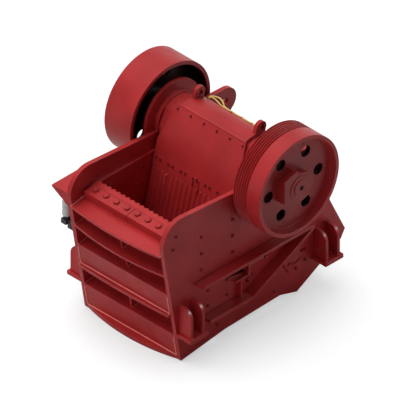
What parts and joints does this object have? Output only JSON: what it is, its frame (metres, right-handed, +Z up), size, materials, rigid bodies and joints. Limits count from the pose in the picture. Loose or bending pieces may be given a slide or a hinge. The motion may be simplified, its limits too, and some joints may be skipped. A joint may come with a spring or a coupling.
{
  "type": "jaw crusher",
  "caption": "Single-toggle jaw crusher: ribbed box frame, wedge-shaped crushing chamber, swinging pitman with ridged die, flywheels on an eccentric shaft.",
  "frame": {"origin": "centre of the four foundation bolts, on the underside of the feet", "axes": "+X along the eccentric shaft towards the grooved wheel, -Y towards the fixed jaw's end, +Z up"},
  "size_m": [2.6, 3.0021, 2.6343],
  "materials": {
    "red_paint": "satin dark red machine enamel",
    "red_casting": "satin red enamel over rough castings",
    "black_plastic": "matt black housing",
    "grey_plastic": "smooth grey reservoir"
  },
  "bodies": {
    "frame": {"adjuster_bracket_left": "red_paint", "adjuster_bracket_right": "red_paint", "bearing_housing_left": "red_paint", "bearing_housing_right": "red_paint", "cheek_plate_left": "red_paint", "cheek_plate_right": "red_paint", "fixed_jaw_die": "red_casting", "foot_front_left": "red_paint", "foot_front_right": "red_paint", "foot_rear_left": "red_paint", "foot_rear_right": "red_paint", "front_cover_lower": "red_paint", "front_cover_upper": "red_paint", "front_gusset_lower": "red_paint", "front_gusset_top": "red_paint", "front_gusset_upper": "red_paint", "front_rib_bottom": "red_paint", "front_rib_lower": "red_paint", "front_rib_top": "red_paint", "front_rib_upper": "red_paint", "front_shelf_lower": "red_paint", "front_shelf_upper": "red_paint", "front_wall": "red_paint", "grease_pump": "black_plastic", "grease_reservoir": "grey_plastic", "jaw_clamp_bar_left": "red_paint", "jaw_clamp_bar_right": "red_paint", "pump_shelf": "red_paint", "side_plate_left": "red_paint", "side_plate_right": "red_paint", "side_stiffener_lower_left": "red_paint", "side_stiffener_lower_right": "red_paint", "side_stiffener_upper_left": "red_paint", "side_stiffener_upper_right": "red_paint", "toggle_beam": "red_paint"},
    "rotor": {"eccentric_shaft": "red_paint", "flywheel_left": "red_paint", "flywheel_right": "red_paint"},
    "pitman": {"moving_jaw_die": "red_casting", "pitman": "red_paint", "pitman_ear_left": "red_paint", "pitman_ear_right": "red_paint", "pitman_guard_plate": "red_paint"},
    "toggle": {"toggle_plate": "red_paint"}
  },
  "joints": [
    {"name": "rotor_spin", "type": "hinge", "parent": "frame", "child": "rotor", "pos_m": [0, 0.268, 1.605], "axis": [1, 0, 0], "continuous": true},
    {"name": "pitman_swing", "type": "hinge", "parent": "frame", "child": "pitman", "pos_m": [0, 0.268, 1.605], "axis": [-1, 0, 0], "range_deg": [0, 0.6]},
    {"name": "toggle_rock", "type": "hinge", "parent": "frame", "child": "toggle", "pos_m": [0, 0.908, 0.185], "axis": [-1, 0, 0], "range_deg": [0, 0.4]}
  ],
  "couplings": [
    {"joint": "toggle_rock", "follows": "pitman_swing", "ratio": 0.42}
  ]
}
